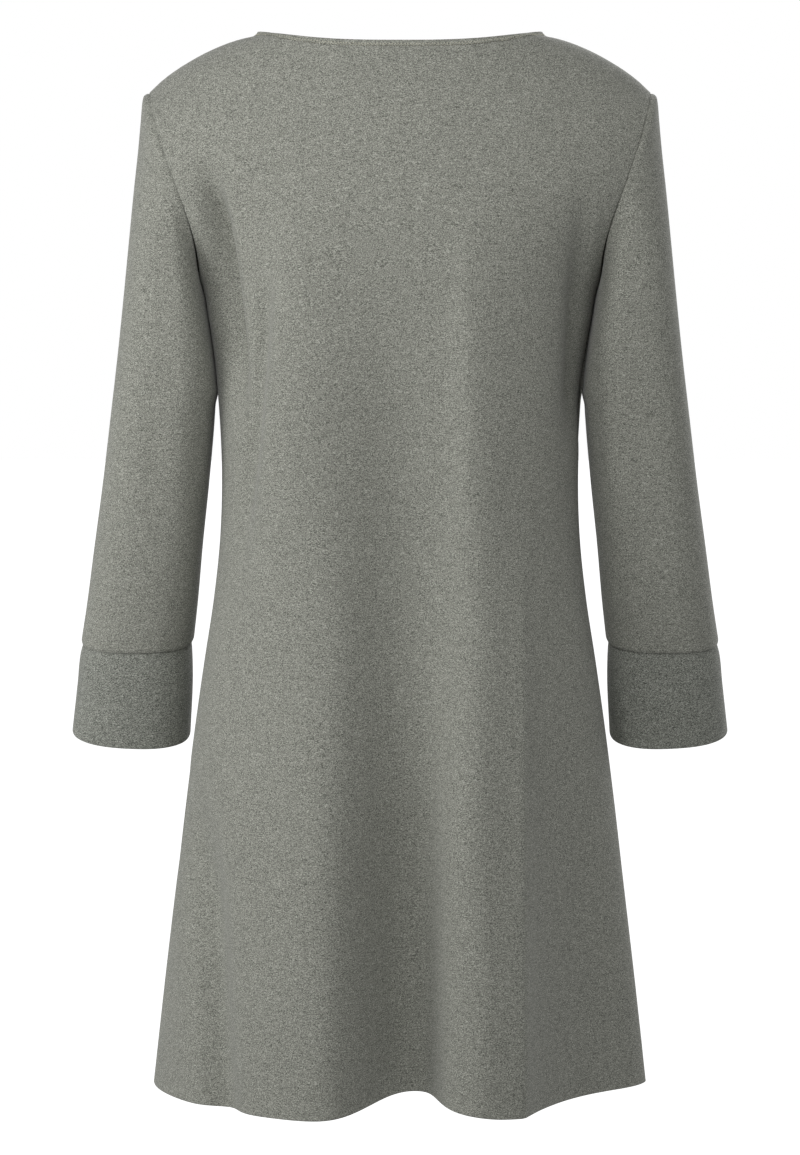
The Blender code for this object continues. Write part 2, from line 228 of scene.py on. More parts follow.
# A seam's edges roll in by this much, over about this distance.
SEAM_ROLL = 0.8
SEAM_WIDTH = 1.3

# The neck's turned edge, the groove that its stitches pull in, and the zigzag thread.
NECK_BAND = 4.9
BAND_RISE = 0.35
BAND_GROOVE = 0.45
BAND_SOFTNESS = 0.7
STITCH_PITCH = 2.4
STITCH_HEIGHT = 2.4
STITCH_PARTS = 4
THREAD_RADIUS = 0.25
THREAD_RISE = 0.3
THREAD_DIP = 0.4
THREAD_SIDES = 6
# Each needle hole is drawn as a flat dark lens: painted shade where the thread dives into the cloth.
HOLE_RADIUS = 0.7
HOLE_RISE = 0.3
# The neck's sewing reaches no farther down than this. The neckline is followed in this many steps a line,
# the cloth's way out is read at this row, and the stitches lie on this many rows.
BAND_REACH = 2.5 * NECK_BAND
NECK_STEPS = 4
NECK_OUT_ROW = 6
STITCHED_ROWS = 40


def smooth(share):
    """0 to 1 with no jump in slope at either end."""
    share = np.clip(share, 0.0, 1.0)
    return share * share * (3 - 2 * share)


def along(places, values, place):
    """A smooth curve through a table's values, read at places between them. Places ascend."""
    slopes = np.gradient(values, places, axis=0)
    place = np.asarray(place, float)
    i = np.clip(np.searchsorted(places, place) - 1, 0, len(places) - 2)
    span = places[i + 1] - places[i]
    t = (place - places[i]) / span
    if values.ndim > 1:
        span = span[..., None]
        t = t[..., None]
    start, end = values[i], values[i + 1]
    leave, arrive = slopes[i] * span, slopes[i + 1] * span
    turn = 3 * (end - start) - 2 * leave - arrive
    return start + leave * t + turn * t**2 + (2 * (start - end) + leave + arrive) * t**3


def body_section(height):
    return BodySection(*np.moveaxis(along(BODY_ROWS[:, 0], BODY_ROWS, height), -1, 0))


def depth_share(x, section):
    """How much of its full depth a section has at x."""
    share = np.minimum(1.0, abs(x) / section.half_width)
    return (1 - share**section.roundness) ** (1 / section.roundness)


def fold_depth(folds, x, z):
    """How far the folds take the cloth in from the smooth form."""
    total = np.zeros(np.broadcast(x, z).shape)
    for fold in folds:
        share = (fold.top_z - z) / (fold.top_z - fold.low_z)
        centre = fold.top_x + (fold.low_x - fold.top_x) * share
        width = np.where(x < centre, fold.minus_width, fold.plus_width)
        strength = smooth(share / fold.fade_in)
        if fold.fade_out:
            strength = strength * smooth((1 - share) / fold.fade_out)
        total += fold.depth * strength * np.exp(-(abs((x - centre) / width) ** fold.sharpness))
    return total


def flank_share(section, x):
    """How much of its depth the back keeps where its flank lies flat."""
    end = FLANK_END * section.half_width
    across = np.clip((-x - FLANK_START) / (end - FLANK_START), 0, 1)
    down = smooth((FLANK_TOP - section.height) / (FLANK_TOP - HEM))
    return 1 - FLANK_SHARE * down * (1 - (1 - across) ** 2)


def body_points(side, x, height):
    """The points of a panel at x and this height, with its large folds in it."""
    section = body_section(height)
    share = np.minimum(1.0, abs(x) / section.half_width)
    y = depth_share(x, section) * (section.back_depth if side == BACK else section.front_depth)
    y = y - smooth(np.sqrt(1 - share * share) / LARGE_FOLD_EASE) * fold_depth(LARGE_FOLDS[side], x, height)
    if side == BACK:
        y = y * flank_share(section, x)
    return np.stack([x, side * y, height], axis=-1)


def neck_height(side, x):
    share = np.minimum(1.0, abs(x) / body_section(NECK_TOP).half_width)
    if side == BACK:
        return NECK_TOP - BACK_NECK_DROP * (1 - share**BACK_NECK_SQUARENESS)
    return NECK_TOP - FRONT_NECK_DROP * (1 - share**2) ** FRONT_NECK_ROUNDNESS


def armhole_place(side, turn):
    """x and height of the armhole on the +X side. turn is 0 at the shoulder and pi at the underarm."""
    tip = body_section(SHOULDER_TIP).half_width
    low = body_section(UNDERARM).half_width
    cut = BACK_ARMHOLE_CUT if side == BACK else FRONT_ARMHOLE_CUT
    x = (tip + low) / 2 + (tip - low) / 2 * np.cos(turn)
    x = x - cut * (np.sin(turn) * (1 - np.cos(turn))) ** 2
    return x, (SHOULDER_TIP + UNDERARM) / 2 + (SHOULDER_TIP - UNDERARM) / 2 * np.cos(turn)


def side_limit(side, height):
    """The greatest x of a panel at this height: the armhole's above the underarm, and the body's below."""
    middle = (SHOULDER_TIP + UNDERARM) / 2
    turn = np.arccos(np.clip((height - middle) / (SHOULDER_TIP - middle), -1, 1))
    inside = (height > UNDERARM) & (height < SHOULDER_TIP)
    return np.where(inside, armhole_place(side, turn)[0], body_section(height).half_width)


# A panel's columns, as arrays with a value for each one.
Columns = namedtuple("Columns", "x height angle slowness sideways on_armhole on_seam")


def half_columns(side):
    """The columns of one half of a panel, from the centre to the side seam."""
    neck, shoulder = NECK_ANGLE[side], SHOULDER_ANGLE[side]
    share = np.arange(NECK_CELLS) / NECK_CELLS
    turn = pi / 2 * share**NECK_CROWDING
    x = body_section(NECK_TOP).half_width * np.sin(turn)
    plain = np.zeros_like(x)
    slowness = 1 + np.sin(turn) ** NECK_LATENESS
    parts = [np.array([x, neck_height(side, x), neck * share, slowness, plain, plain, plain])]
    numbers = np.arange(len(SHOULDER_HEIGHTS), dtype=float)
    place = np.linspace(0, numbers[-1], SHOULDER_CELLS + 1)
    height = along(numbers, np.array(SHOULDER_HEIGHTS), place)
    angle = neck + (shoulder - neck) * place / numbers[-1]
    plain = np.zeros_like(place)
    x = body_section(height).half_width
    parts.append(np.array([x, height, angle, plain + 2, plain, (place / numbers[-1]) ** 2, plain + 1]))
    share = np.sort(np.append(np.arange(1, ARMHOLE_CELLS + 1) / ARMHOLE_CELLS, NEAR_SIDE))
    x, height = armhole_place(side, pi * share)
    angle = shoulder + (SIDE_ANGLE - shoulder) * share**ARMHOLE_CROWDING
    slowness = 1 + np.maximum(0.0, np.cos(pi * share)) ** ARMHOLE_LATENESS
    plain = np.zeros_like(share)
    sideways = smooth((share - SIDEWAYS_START) / SIDEWAYS_LENGTH)
    parts.append(np.array([x, height, angle, slowness, sideways, plain + 1, plain]))
    return Columns(*np.concatenate(parts, axis=1))


def column_routes(side, columns, mirror):
    """x and height down each column, drafted finely from the top edge to the hem."""
    low_share = np.sin(np.radians(columns.angle))[:, None]
    x, height, slowness = (value[:, None] for value in (columns.x, columns.height, columns.slowness))
    chest = body_section(CHEST)
    low_x = low_share * chest.half_width
    share = np.linspace(0, 1, DRAFT_ROWS, endpoint=False)[None, :]
    fallen = share**slowness
    levels = height + (CHEST - height) * fallen
    straight = x + (low_x - x) * share ** COLUMN_DRIFT[side]
    top_depth = depth_share(x, body_section(height))
    depth = top_depth + (depth_share(low_x, chest) - top_depth) * fallen
    section = body_section(levels)
    held = section.half_width * (1 - depth**section.roundness) ** (1 / section.roundness)
    shaped = side_limit(side, levels) * (1 - (1 - low_share) * fallen**ARMHOLE_DRIFT)
    shaped = shaped + (held - shaped) * columns.sideways[:, None]
    yoke_x = mirror * (straight + (shaped - straight) * columns.on_armhole[:, None])
    hem_x = mirror * low_share * body_section(HEM).half_width
    rise = HEM_RISE * np.exp(-(((hem_x - HEM_RISE_X) / HEM_RISE_WIDTH) ** 2)) * (side == BACK)
    down = np.linspace(0, 1, 2 * DRAFT_ROWS)[None, :]
    skirt_levels = CHEST + (HEM + rise - CHEST) * down
    skirt_x = mirror * low_share * body_section(skirt_levels).half_width
    return np.concatenate([yoke_x, skirt_x], axis=1), np.concatenate([levels, skirt_levels], axis=1)


def spaced(lengths, rows, head, foot):
    """Distances down each line: set ones near both ends, and even ones between."""
    head, foot = np.array(head), np.array(foot)
    share = np.linspace(0, 1, rows + 2)[1:-1]
    middle = head[-1] + (lengths[:, None] - head[-1] - foot[-1]) * share
    ends = np.ones((len(lengths), 1))
    return np.concatenate([head * ends, middle, lengths[:, None] - foot[::-1] * ends], axis=1)


def line_lengths(points):
    steps = np.linalg.norm(np.diff(points, axis=1), axis=2)
    return np.concatenate([np.zeros((len(points), 1)), np.cumsum(steps, axis=1)], axis=1)


def resampled(values, lengths, wanted):
    """Each line's values, read at the wanted distances down it."""
    return np.array([np.interp(at, length, value) for value, length, at in zip(values, lengths, wanted)])


def evened(values, share):
    """Evens out the lines of a grid that crowd together, as far as each point's share lets it move."""
    values = values.copy()
    for _ in range(EVENING_STEPS):
        values[1:-1] += share[1:-1] * ((values[:-2] + values[2:]) / 2 - values[1:-1])
    return values


def unit(vectors):
    return vectors / np.maximum(np.linalg.norm(vectors, axis=-1, keepdims=True), 1e-9)


def grid_normals(points, closed, facing):
    """The way out of the cloth at each point of its grid."""
    if closed:
        across = np.roll(points, -1, axis=0) - np.roll(points, 1, axis=0)
    else:
        across = np.gradient(points, axis=0)
    return unit(np.cross(across, np.gradient(points, axis=1)) * facing)


# A piece of cloth: its outer points in lines that run down it, the way out at each one, how thick it is
# there, whether its last line meets its first, and the sign that turns its faces outwards.
Piece = namedtuple("Piece", "points outs thickness closed facing")


def panel(side):
    """A whole panel and its columns, its lines running from the -X side seam to the +X one."""
    half = half_columns(side)
    order = np.arange(len(half.x))
    halves = []
    for mirror, which in ((-1, order[:0:-1]), (1, order)):
        columns = Columns(*(value[which] for value in half))
        halves.append((columns, *column_routes(side, columns, mirror)))
    columns = Columns(*(np.concatenate(pair) for pair in zip(halves[0][0], halves[1][0])))
    x = np.concatenate([halves[0][1], halves[1][1]])
    height = np.concatenate([halves[0][2], halves[1][2]])
    lengths = line_lengths(body_points(side, x, height))
    wanted = spaced(lengths[:, -1], LONG_ROWS, EDGE_ROWS, FOOT_ROWS)
    head, foot = wanted, lengths[:, -1:] - wanted
    clear = smooth((head - EDGE_ROWS[-1]) / EVENING_EASE) * smooth((foot - HEM_TURN) / EVENING_EASE)
    x, height = (evened(resampled(value, lengths, wanted), EVENING_SHARE * clear) for value in (x, height))
    # Both side seams lie where the body is widest.
    x[[0, -1]] = np.sign(x[[0, -1]]) * body_section(height[[0, -1]]).half_width
    points = body_points(side, x, height)
    outs = grid_normals(points, False, side)
    on_armhole = (columns.on_armhole == 1)[:, None]
    ease = np.where(on_armhole, smooth(head / CREASE_EASE), 1.0)
    points -= outs * (ease * fold_depth(CREASES[side], x, height))[..., None]
    outs = grid_normals(points, False, side)
    points[..., 1] += side * SEAM_GAP / 2
    points = neck_band(points, outs, columns)
    near_seam = np.abs(points[..., 1])
    near_seam = np.where(on_armhole, np.minimum(near_seam, head), near_seam)
    pressed = smooth((height - TOUCH_END + TOUCH_FADE) / TOUCH_FADE) * (height < UNDERARM)
    points -= outs * ((1 - pressed) * SEAM_ROLL * np.exp(-((near_seam / SEAM_WIDTH) ** 2)))[..., None]
    seams = columns.on_seam > 0
    for line in (outs[0], outs[-1]):
        line[:, 1] = 0
        line[:] = unit(line)
    outs[seams, 0] = unit(outs[seams, 0] * (1, 0, 1))
    thickness = CLOTH + HEM_EXTRA * (foot < HEM_TURN)
    return Piece(points, outs, thickness, False, side), columns


def neck_edge(points, columns):
    """The points of the neckline, from one shoulder seam to the other."""
    on_neck = (columns.on_seam + columns.on_armhole) == 0
    first, last = np.flatnonzero(on_neck)[[0, -1]]
    return points[first - 1 : last + 2, 0]


def neck_band(points, outs, columns):
    """Lifts the neck's turned edge a little, and draws the cloth in along its stitches."""
    edge = neck_edge(points, columns)
    places = np.arange(len(edge), dtype=float)
    stops = along(places, edge, np.linspace(0, places[-1], NECK_STEPS * len(edge)))
    tree = KDTree(len(stops))
    for number, stop in enumerate(stops):
        tree.insert(Vector(stop), number)
    tree.balance()
    lifted = points.copy()
    for i, j in np.argwhere(np.linalg.norm(points - points[:, :1], axis=2) < BAND_REACH):
        away = tree.find(Vector(points[i, j]))[2]
        rise = BAND_RISE * (1 - smooth((away - NECK_BAND + BAND_SOFTNESS) / BAND_SOFTNESS))
        rise -= BAND_GROOVE * np.exp(-(((away - NECK_BAND) / BAND_SOFTNESS) ** 2))
        lifted[i, j] += outs[i, j] * rise
    return lifted


def tube_points(section, turn, mirror):
    """The points round a tube at each of a row of sections. 0 is the outer edge, and positive is behind."""
    far = abs(np.cos(turn)) ** section.square + abs(np.sin(turn)) ** section.square
    far = far ** (-1 / section.square)
    across, behind = far * np.cos(turn), far * np.sin(turn)
    x = (section.outer_x + section.inner_x) / 2 + (section.outer_x - section.inner_x) / 2 * across
    z = (section.outer_z + section.inner_z) / 2 + (section.outer_z - section.inner_z) / 2 * across
    y = section.middle_y + section.half_depth * behind
    return np.stack([x * mirror, y, z - section.dip * behind], axis=-1)


def tube_turns():
    """The turns round a tube, from the underarm, over the front, the outer edge and the back."""
    return np.arange(-ARMHOLE_CELLS, ARMHOLE_CELLS) * pi / ARMHOLE_CELLS


def tube_draft(table, mirror):
    """Lines of points down a tube, and how far down the table each one is, in sections."""
    rows = np.array(table, float)
    steps = np.linalg.norm(np.diff(rows[:, :2], axis=0), axis=1)
    steps += np.linalg.norm(np.diff(rows[:, 2:4], axis=0), axis=1)
    places = np.concatenate([[0], np.cumsum(steps**SECTION_SPREAD)])
    stops = np.linspace(0, places[-1], DRAFT_ROWS)
    section = TubeSection(*np.moveaxis(along(places, rows, stops), -1, 0))
    touching = smooth((section.inner_z - TOUCH_END + TOUCH_FADE) / TOUCH_FADE) * (section.inner_z < UNDERARM)
    apart = section.inner_x - body_section(section.inner_z).half_width
    section = section._replace(inner_x=section.inner_x - touching * apart)
    points = tube_points(TubeSection(*(value[None, :] for value in section)), tube_turns()[:, None], mirror)
    return points, np.interp(stops, places, np.arange(len(table)))


def sleeve_draft(mirror):
    """The sleeve's lines. Each starts on the armhole that the panels leave."""
    points, numbers = tube_draft(SLEEVE, mirror)
    keep = np.maximum(0.0, 1 - numbers / SLEEVE_HEAD) ** HEAD_FADE
    for line, turn in zip(points, tube_turns()):
        side = BACK if turn >= 0 else FRONT
        x, height = armhole_place(side, abs(turn))
        seam = body_points(side, mirror * x, height)
        seam[0] += mirror * SEAM_GAP
        line += (seam - line[0]) * keep[:, None]
    return points


# A crease on a sleeve: its turn and distance down the sleeve at both ends, its width and its depth. It
# deepens over the first of these shares of its length and dies away over the second.
CREASE_START = 0.4
CREASE_END = 0.5
SLEEVE_RADIUS = 50.0
TubeFold = namedtuple("TubeFold", "start_turn start_down end_turn end_down width depth")
SLEEVE_FOLDS = {
    1: (
        TubeFold(2.2, 60, 2.5, 250, 12, 1.6),
        TubeFold(1.5, 150, 1.9, 330, 16, 0.7),
        TubeFold(-2.3, 40, -2.0, 220, 12, 1.5),
        TubeFold(-1.1, 230, -1.9, 330, 10, 1.2),
        TubeFold(-0.9, 270, -1.7, 360, 9, 1.0),
    ),
    -1: (
        TubeFold(2.3, 50, 2.6, 230, 12, 1.7),
        TubeFold(1.7, 160, 1.4, 350, 15, 0.7),
        TubeFold(-2.2, 50, -2.1, 240, 12, 1.4),
        TubeFold(-1.0, 250, -1.8, 345, 10, 1.2),
        TubeFold(-0.8, 300, -1.6, 385, 9, 0.9),
    ),
}


def tube_fold_depth(folds, turn, down):
    """How far the creases take the cloth in, round a tube and down it."""
    total = np.zeros(down.shape)
    for fold in folds:
        share = (down - fold.start_down) / (fold.end_down - fold.start_down)
        centre = fold.start_turn + (fold.end_turn - fold.start_turn) * share
        across = (turn - centre) * SLEEVE_RADIUS
        strength = smooth(share / CREASE_START) * smooth((1 - share) / CREASE_END)
        total += fold.depth * strength * np.exp(-((across / fold.width) ** 2))
    return total


def tube(draft, rows, folds, mirror, rolled, turned_foot):
    """A piece of cloth that goes all round, from its drafted lines, with its ends rolled in or not."""
    lengths = line_lengths(draft)
    wanted = spaced(lengths[:, -1], rows, EDGE_ROWS, FOOT_ROWS)
    points = np.stack([resampled(draft[..., axis], lengths, wanted) for axis in range(3)], axis=-1)
    outs = grid_normals(points, True, -mirror)
    head, foot = wanted, lengths[:, -1:] - wanted
    depth = tube_fold_depth(folds, tube_turns()[:, None], head)
    if rolled:
        depth = depth + SEAM_ROLL * np.exp(-((head / SEAM_WIDTH) ** 2))
        depth = depth + SEAM_ROLL * np.exp(-((foot / SEAM_WIDTH) ** 2))
    points = points - outs * depth[..., None]
    thickness = CLOTH + HEM_EXTRA * (foot < turned_foot)
    return Piece(points, outs, thickness, True, -mirror)


def round_edge(points, inner, outs, way):
    """The points round an edge of the cloth, from its outer face to its inner one."""
    middle = (points + inner) / 2
    half = np.linalg.norm(points - inner, axis=-1, keepdims=True) / 2
    return [middle + half * (outs * cos(turn) + way * sin(turn)) for turn in EDGE_TURNS]


def mesh_object(name, points, faces, material):
    mesh = bpy.data.meshes.new(name)
    mesh.from_pydata((np.asarray(points) * MM).tolist(), [], faces)
    mesh.materials.append(material)
    mesh.shade_smooth()
    obj = bpy.data.objects.new(name, mesh)
    bpy.context.scene.collection.objects.link(obj)
    return obj


def cloth_object(name, piece, material):
    """The closed mesh of a piece of cloth: outer face, round lower edge, inner face and round upper edge."""
    points, outs = piece.points, piece.outs
    inner = points - outs * piece.thickness[..., None]
    low = unit(points[:, -1] - points[:, -2])
    high = unit(points[:, 0] - points[:, 1])
    loop = list(np.moveaxis(points, 1, 0)) + round_edge(points[:, -1], inner[:, -1], outs[:, -1], low)
    loop += list(np.moveaxis(inner, 1, 0))[::-1]
    loop += round_edge(points[:, 0], inner[:, 0], outs[:, 0], high)[::-1]
    loop = np.array(loop)
    number = np.arange(loop.shape[0] * loop.shape[1]).reshape(loop.shape[:2])
    here = number if piece.closed else number[:, :-1]
    next_line = np.roll(number, -1, axis=1) if piece.closed else number[:, 1:]
    faces = np.stack([here, next_line, np.roll(next_line, -1, axis=0), np.roll(here, -1, axis=0)], axis=-1)
    faces = faces.reshape(-1, 4)
    if piece.facing < 0:
        faces = faces[:, ::-1]
    faces = faces.tolist()
    if not piece.closed:
        faces += side_faces(number, points.shape[1], piece.facing)
    return mesh_object(name, loop.reshape(-1, 3), faces, material)


def side_faces(number, rows, facing):
    """The faces that close a panel's two side edges, between its outer and its inner line."""
    faces = []
    edge = len(EDGE_TURNS)
    for column, way in ((0, 1), (-1, -1)):
        line = number[:, column].tolist()
        outer = line[:rows]
        inner = line[rows + edge : 2 * rows + edge][::-1]
        made = [[outer[j], outer[j + 1], inner[j + 1], inner[j]] for j in range(rows - 1)]
        made.append(line[rows - 1 : rows + edge + 1])
        made.append(line[-edge - 1 :] + line[:1])
        faces += [face if way * facing > 0 else face[::-1] for face in made]
    return faces


def stepped(path, places, stops):
    """The points of a path, read at the stops between their places."""
    return np.stack([np.interp(stops, places, value) for value in path.T], axis=-1)


def stitch_corners(piece, columns):
    """The corners of the zigzag thread along one panel's part of the neckline."""
    edge = neck_edge(piece.points, columns)
    ways = neck_edge(piece.outs[:, NECK_OUT_ROW:], columns)
    lengths = line_lengths(edge[None])[0]
    count = 2 * round(lengths[-1] / STITCH_PITCH)
    stops = np.linspace(0, lengths[-1], count + 1)
    edge, ways = (stepped(value, lengths, stops) for value in (edge, ways))
    inward = unit(np.cross(ways, np.gradient(edge, axis=0)))
    inward = inward * np.sign(-inward[count // 2, 2])
    away = NECK_BAND - STITCH_HEIGHT * (np.arange(count + 1) % 2)
    return edge + inward * away[:, None]


def thread_path(corners, cloth):
    """The way of the thread from corner to corner, over the cloth and down into it at each one."""
    count = len(corners) - 1
    share = np.arange(count * STITCH_PARTS + 1) / STITCH_PARTS
    line = stepped(corners, np.arange(count + 1), share)
    rise = THREAD_RISE - THREAD_DIP * np.abs(np.cos(pi * share)) ** 3
    path = []
    for point, height in zip(line, rise):
        place, normal = cloth.find_nearest(Vector(point))[:2]
        path.append(place + normal * height)
    return np.array(path)


def needle_hole_shade(corners, cloth):
    """Painted shade where the thread dives into the cloth: a flat dark lens at each needle hole, its points
    and faces.
    """
    points, faces = [], []
    for corner in corners:
        place, normal = cloth.find_nearest(Vector(corner))[:2]
        side_way = normal.orthogonal().normalized()
        other_way = normal.cross(side_way)
        top = len(points)
        points += [place + normal * HOLE_RISE, place - normal * HOLE_RISE]
        for number in range(THREAD_SIDES):
            turn = 2 * pi * number / THREAD_SIDES
            points.append(place + HOLE_RADIUS * (cos(turn) * side_way + sin(turn) * other_way))
            ring = top + 2 + number
            following = top + 2 + (number + 1) % THREAD_SIDES
            faces += [[top, ring, following], [top + 1, following, ring]]
    return np.array(points), faces


def surface_tree(piece):
    """The outer face of a piece's upper rows, to lay points on."""
    points = piece.points[:, :STITCHED_ROWS]
    number = np.arange(points.shape[0] * points.shape[1]).reshape(points.shape[:2])
    faces = np.stack([number[:-1, :-1], number[1:, :-1], number[1:, 1:], number[:-1, 1:]], axis=-1)
    faces = faces.reshape(-1, 4)
    if piece.facing > 0:
        faces = faces[:, ::-1]
    return BVHTree.FromPolygons(points.reshape(-1, 3).tolist(), faces.tolist())


def thread_mesh(path):
    """A round thread along a path: its points and faces."""
    along_path = unit(np.gradient(path, axis=0))
    side_way = unit(np.cross(along_path, (0.0, 1.0, 0.0)))
    other_way = np.cross(side_way, along_path)
    turns = np.arange(THREAD_SIDES) * 2 * pi / THREAD_SIDES
    rings = [path + THREAD_RADIUS * (cos(turn) * side_way + sin(turn) * other_way) for turn in turns]
    points = np.stack(rings, axis=1)
    number = np.arange(points.shape[0] * THREAD_SIDES).reshape(-1, THREAD_SIDES)
    following = np.roll(number, -1, axis=1)
    faces = np.stack([number[:-1], following[:-1], following[1:], number[1:]], axis=-1)
    ends = [number[0, ::-1].tolist(), number[-1].tolist()]
    return points.reshape(-1, 3), faces.reshape(-1, 4).tolist() + ends


def joined(name, parts, material):
    """One object of several meshes, each with its points and faces."""
    points, faces = [], []
    for part_points, part_faces in parts:
        start = sum(len(part) for part in points)
        faces += [[number + start for number in face] for face in part_faces]
        points.append(part_points)
    return mesh_object(name, np.concatenate(points), faces, material)


def neck_stitches(panels):
    """The zigzag thread round the neck, just above the line where its turned edge ends, and dark lenses of
    painted shade at its needle holes.
    """
    threads, hole_shades = [], []
    for piece, columns in panels:
        cloth = surface_tree(piece)
        corners = stitch_corners(piece, columns)
        threads.append(thread_mesh(thread_path(corners, cloth)))
        hole_shades.append(needle_hole_shade(corners[::2], cloth))
    thread = joined("neck_stitches", threads, thread_material())
    return thread, joined("needle_hole_shade", hole_shades, hole_shade_material())


# Each cloth's grain is a fine noise, longer one way than the other. Longer streaks and soft patches are
# added to it by these shares, and the ramp from dark to light spans the middle of the sum.
ClothLook = namedtuple("ClothLook", "name dark base light grain streak tilt bump")
JERSEY = ClothLook(
    "melange_jersey", (0.07, 0.072, 0.061), (0.219, 0.223, 0.195), (0.44, 0.446, 0.393), 1050, 1.9, 0, 0.25
)
CUFF_JERSEY = ClothLook(
    "cuff_jersey", (0.05, 0.053, 0.045), (0.182, 0.19, 0.167), (0.42, 0.43, 0.385), 950, 2.1, 32, 0.3
)
LONG_STREAK = 7
LONG_STREAK_SIZE = 6
LONG_STREAK_SHARE = 0.2
PATCH_SCALE = 60
PATCH_SHARE = 0.02
ADDED_MIDDLE = 0.11
RAMP_DARK = 0.34
RAMP_BASE = 0.5
RAMP_LIGHT = 0.66
BUMP_HEIGHT = 0.0006

THREAD_DARK = (0.3, 0.29, 0.21)
THREAD_LIGHT = (0.66, 0.64, 0.5)
THREAD_GRAIN = 700
# The needle holes' dark colour is painted shade where the thread dives into the cloth.
HOLE_SHADE_COLOUR = (0.06, 0.06, 0.05)


def set_inputs(made, **inputs):
    for name, value in inputs.items():
        made.inputs[name.replace("_", " ")].default_value = value


def node(tree, kind, **inputs):
    made = tree.nodes.new(kind)
    set_inputs(made, **inputs)
    return made


def noise(tree, vector, scale, detail, roughness):
    made = node(tree, "ShaderNodeTexNoise", Scale=scale, Detail=detail, Roughness=roughness)
    tree.links.new(vector, made.inputs["Vector"])
    return made.outputs["Fac"]


def stretched(tree, place, tilt, stretch):
    """Places on the cloth, turned by its tilt and pressed together down its length."""
    made = node(tree, "ShaderNodeMapping", Rotation=(0, radians(tilt), 0), Scale=(1, 1, stretch))
    tree.links.new(place, made.inputs["Vector"])
    return made.outputs["Vector"]


def scaled_sum(tree, value, factor, added):
    """value times factor, plus added."""
    made = node(tree, "ShaderNodeMath")
    made.operation = "MULTIPLY_ADD"
    tree.links.new(value, made.inputs[0])
    made.inputs[1].default_value = factor
    tree.links.new(added, made.inputs[2])
    return made.outputs[0]


def new_material(name):
    """A material, its nodes' tree and its shader."""
    material = bpy.data.materials.new(name)
    material.use_nodes = True
    return material, material.node_tree, material.node_tree.nodes["Principled BSDF"]


def cloth_material(look):
    material, tree, shader = new_material(look.name)
    links = tree.links
    set_inputs(shader, Roughness=0.92, Specular_IOR_Level=0.2, Sheen_Weight=0.15, Sheen_Roughness=0.5)
    place = tree.nodes.new("ShaderNodeTexCoord").outputs["Object"]
    grain = noise(tree, stretched(tree, place, look.tilt, look.streak), look.grain, 2.0, 0.6)
    long_way = stretched(tree, place, look.tilt, LONG_STREAK)
    streaks = noise(tree, long_way, look.grain / LONG_STREAK_SIZE, 3.0, 0.6)
    patches = noise(tree, place, PATCH_SCALE, 2.0, 0.5)
    streaked = scaled_sum(tree, streaks, LONG_STREAK_SHARE, grain)
    centred = node(tree, "ShaderNodeMath")
    centred.operation = "SUBTRACT"
    links.new(scaled_sum(tree, patches, PATCH_SHARE, streaked), centred.inputs[0])
    centred.inputs[1].default_value = ADDED_MIDDLE
    ramp = tree.nodes.new("ShaderNodeValToRGB")
    dark, light = ramp.color_ramp.elements
    dark.position = RAMP_DARK
    dark.color = (*look.dark, 1)
    light.position = RAMP_LIGHT
    light.color = (*look.light, 1)
    ramp.color_ramp.elements.new(RAMP_BASE).color = (*look.base, 1)
    links.new(centred.outputs[0], ramp.inputs["Fac"])
    links.new(ramp.outputs["Color"], shader.inputs["Base Color"])
    bump = node(tree, "ShaderNodeBump", Strength=look.bump, Distance=BUMP_HEIGHT)
    links.new(centred.outputs[0], bump.inputs["Height"])
    links.new(bump.outputs["Normal"], shader.inputs["Normal"])
    return material


# A dark matte material for the painted shade at the needle holes.
def hole_shade_material():
    material, _, shader = new_material("painted_needle_hole_shade")
    set_inputs(shader, Base_Color=(*HOLE_SHADE_COLOUR, 1), Roughness=1.0)
    return material


def thread_material():
    material, tree, shader = new_material("thread")
    set_inputs(shader, Roughness=0.6)
    place = tree.nodes.new("ShaderNodeTexCoord").outputs["Object"]
    ramp = tree.nodes.new("ShaderNodeValToRGB")
    ramp.color_ramp.elements[0].color = (*THREAD_DARK, 1)
    ramp.color_ramp.elements[1].color = (*THREAD_LIGHT, 1)
    tree.links.new(noise(tree, place, THREAD_GRAIN, 1.0, 0.5), ramp.inputs["Fac"])
    tree.links.new(ramp.outputs["Color"], shader.inputs["Base Color"])
    return material


# The cut of each piece, laid flat: its width, its length and its area, in metres.
Cut = namedtuple("Cut", "width length area")


def add_piece(piece, solid, material):
    obj = cloth_object(solid + "_cloth", piece, material)
    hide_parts(solid)
    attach(obj, BODY)


def add_dress():
    jersey = cloth_material(JERSEY)
    cuff_jersey = cloth_material(CUFF_JERSEY)
    panels = [panel(BACK), panel(FRONT)]
    for (piece, _), name in zip(panels, ("back_panel", "front_panel")):
        add_piece(piece, name, jersey)
    for mirror, word in ((1, "left"), (-1, "right")):
        folds = SLEEVE_FOLDS[mirror]
        sleeve = tube(sleeve_draft(mirror), SLEEVE_ROWS, folds, mirror, rolled=True, turned_foot=0)
        add_piece(sleeve, f"sleeve_{word}", jersey)
        cuff_lines = tube_draft(CUFF, mirror)[0]
        cuff = tube(cuff_lines, CUFF_ROWS, (), mirror, rolled=False, turned_foot=HEM_TURN)
        add_piece(cuff, f"cuff_{word}", cuff_jersey)
    for sewing in neck_stitches(panels):
        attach(sewing, BODY)


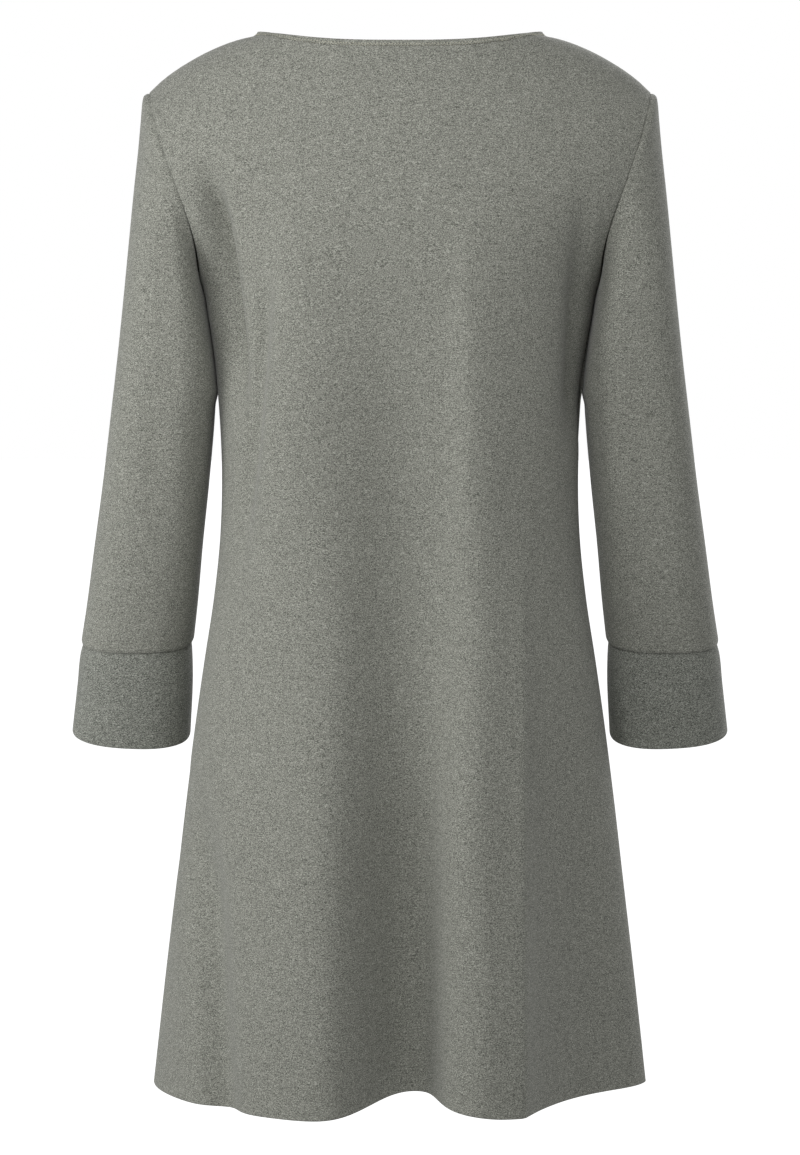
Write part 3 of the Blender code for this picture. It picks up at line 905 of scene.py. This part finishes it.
# The studio. Each light is a round panel that faces the dress: its azimuth from behind the dress towards
# its left, its elevation, and how bright a white surface at the dress's middle is in its light.
StudioLight = namedtuple("StudioLight", "name azimuth elevation brightness")
LIGHTS = (
    StudioLight("key", 14, 34, 0.4),
    StudioLight("side", 64, 4, 0.42),
    StudioLight("front_key", 200, 36, 0.36),
    StudioLight("front_side", 228, 4, 0.3),
)
LIGHT_DISTANCE = 1.4
LIGHT_SIZE = 0.7
CENTRE = Vector((0, 0, -0.43))
WORLD_LIGHT = 0.41

# A wide floor that reads as the photo's white.
FLOOR_HEIGHT = -1.4
FLOOR_SIZE = 60
FLOOR_COLOUR = (0.85, 0.85, 0.85)
FLOOR_GLOW = 0.8

# The photo's camera stands behind the dress and looks down a little.
EYE = (0, 2.6, -0.25)
PITCH = 4.121
LENS = 99.28
SENSOR = 36


def add_light(light):
    a, e = radians(light.azimuth), radians(light.elevation)
    away = Vector((sin(a) * cos(e), cos(a) * cos(e), sin(e)))
    data = bpy.data.lights.new(light.name, "AREA")
    data.shape = "DISK"
    data.size = LIGHT_SIZE
    data.energy = light.brightness * (pi * LIGHT_DISTANCE) ** 2
    obj = bpy.data.objects.new(light.name, data)
    obj.location = CENTRE + away * LIGHT_DISTANCE
    obj.rotation_euler = away.to_track_quat("Z", "Y").to_euler()
    bpy.context.scene.collection.objects.link(obj)


def add_world():
    """A white backdrop for the camera, and a weaker even light for the dress."""
    world = bpy.data.worlds.new("studio")
    bpy.context.scene.world = world
    world.use_nodes = True
    tree = world.node_tree
    seen = node(tree, "ShaderNodeBackground", Color=(1, 1, 1, 1), Strength=1.0)
    lighting = tree.nodes["Background"]
    set_inputs(lighting, Color=(1, 1, 1, 1), Strength=WORLD_LIGHT)
    path = tree.nodes.new("ShaderNodeLightPath")
    mix = tree.nodes.new("ShaderNodeMixShader")
    tree.links.new(path.outputs["Is Camera Ray"], mix.inputs["Fac"])
    tree.links.new(lighting.outputs[0], mix.inputs[1])
    tree.links.new(seen.outputs[0], mix.inputs[2])
    tree.links.new(mix.outputs[0], tree.nodes["World Output"].inputs["Surface"])


def add_floor():
    bpy.ops.mesh.primitive_plane_add(size=FLOOR_SIZE, location=(0, 0, FLOOR_HEIGHT))
    floor = bpy.context.object
    floor.name = "floor"
    material, _, shader = new_material("floor")
    set_inputs(shader, Base_Color=(*FLOOR_COLOUR, 1), Roughness=0.9)
    set_inputs(shader, Emission_Color=(1, 1, 1, 1), Emission_Strength=FLOOR_GLOW)
    floor.data.materials.append(material)
    floor.visible_diffuse = False
    floor.visible_glossy = False


def add_camera():
    data = bpy.data.cameras.new("camera")
    data.lens = LENS
    data.sensor_width = SENSOR
    camera = bpy.data.objects.new("camera", data)
    camera.location = EYE
    camera.rotation_euler = (radians(90 - PITCH), 0, pi)
    bpy.context.scene.collection.objects.link(camera)
    bpy.context.scene.camera = camera


add_camera()
add_dress()
add_world()
add_floor()
for studio_light in LIGHTS:
    add_light(studio_light)
bpy.context.scene.view_settings.view_transform = "Standard"
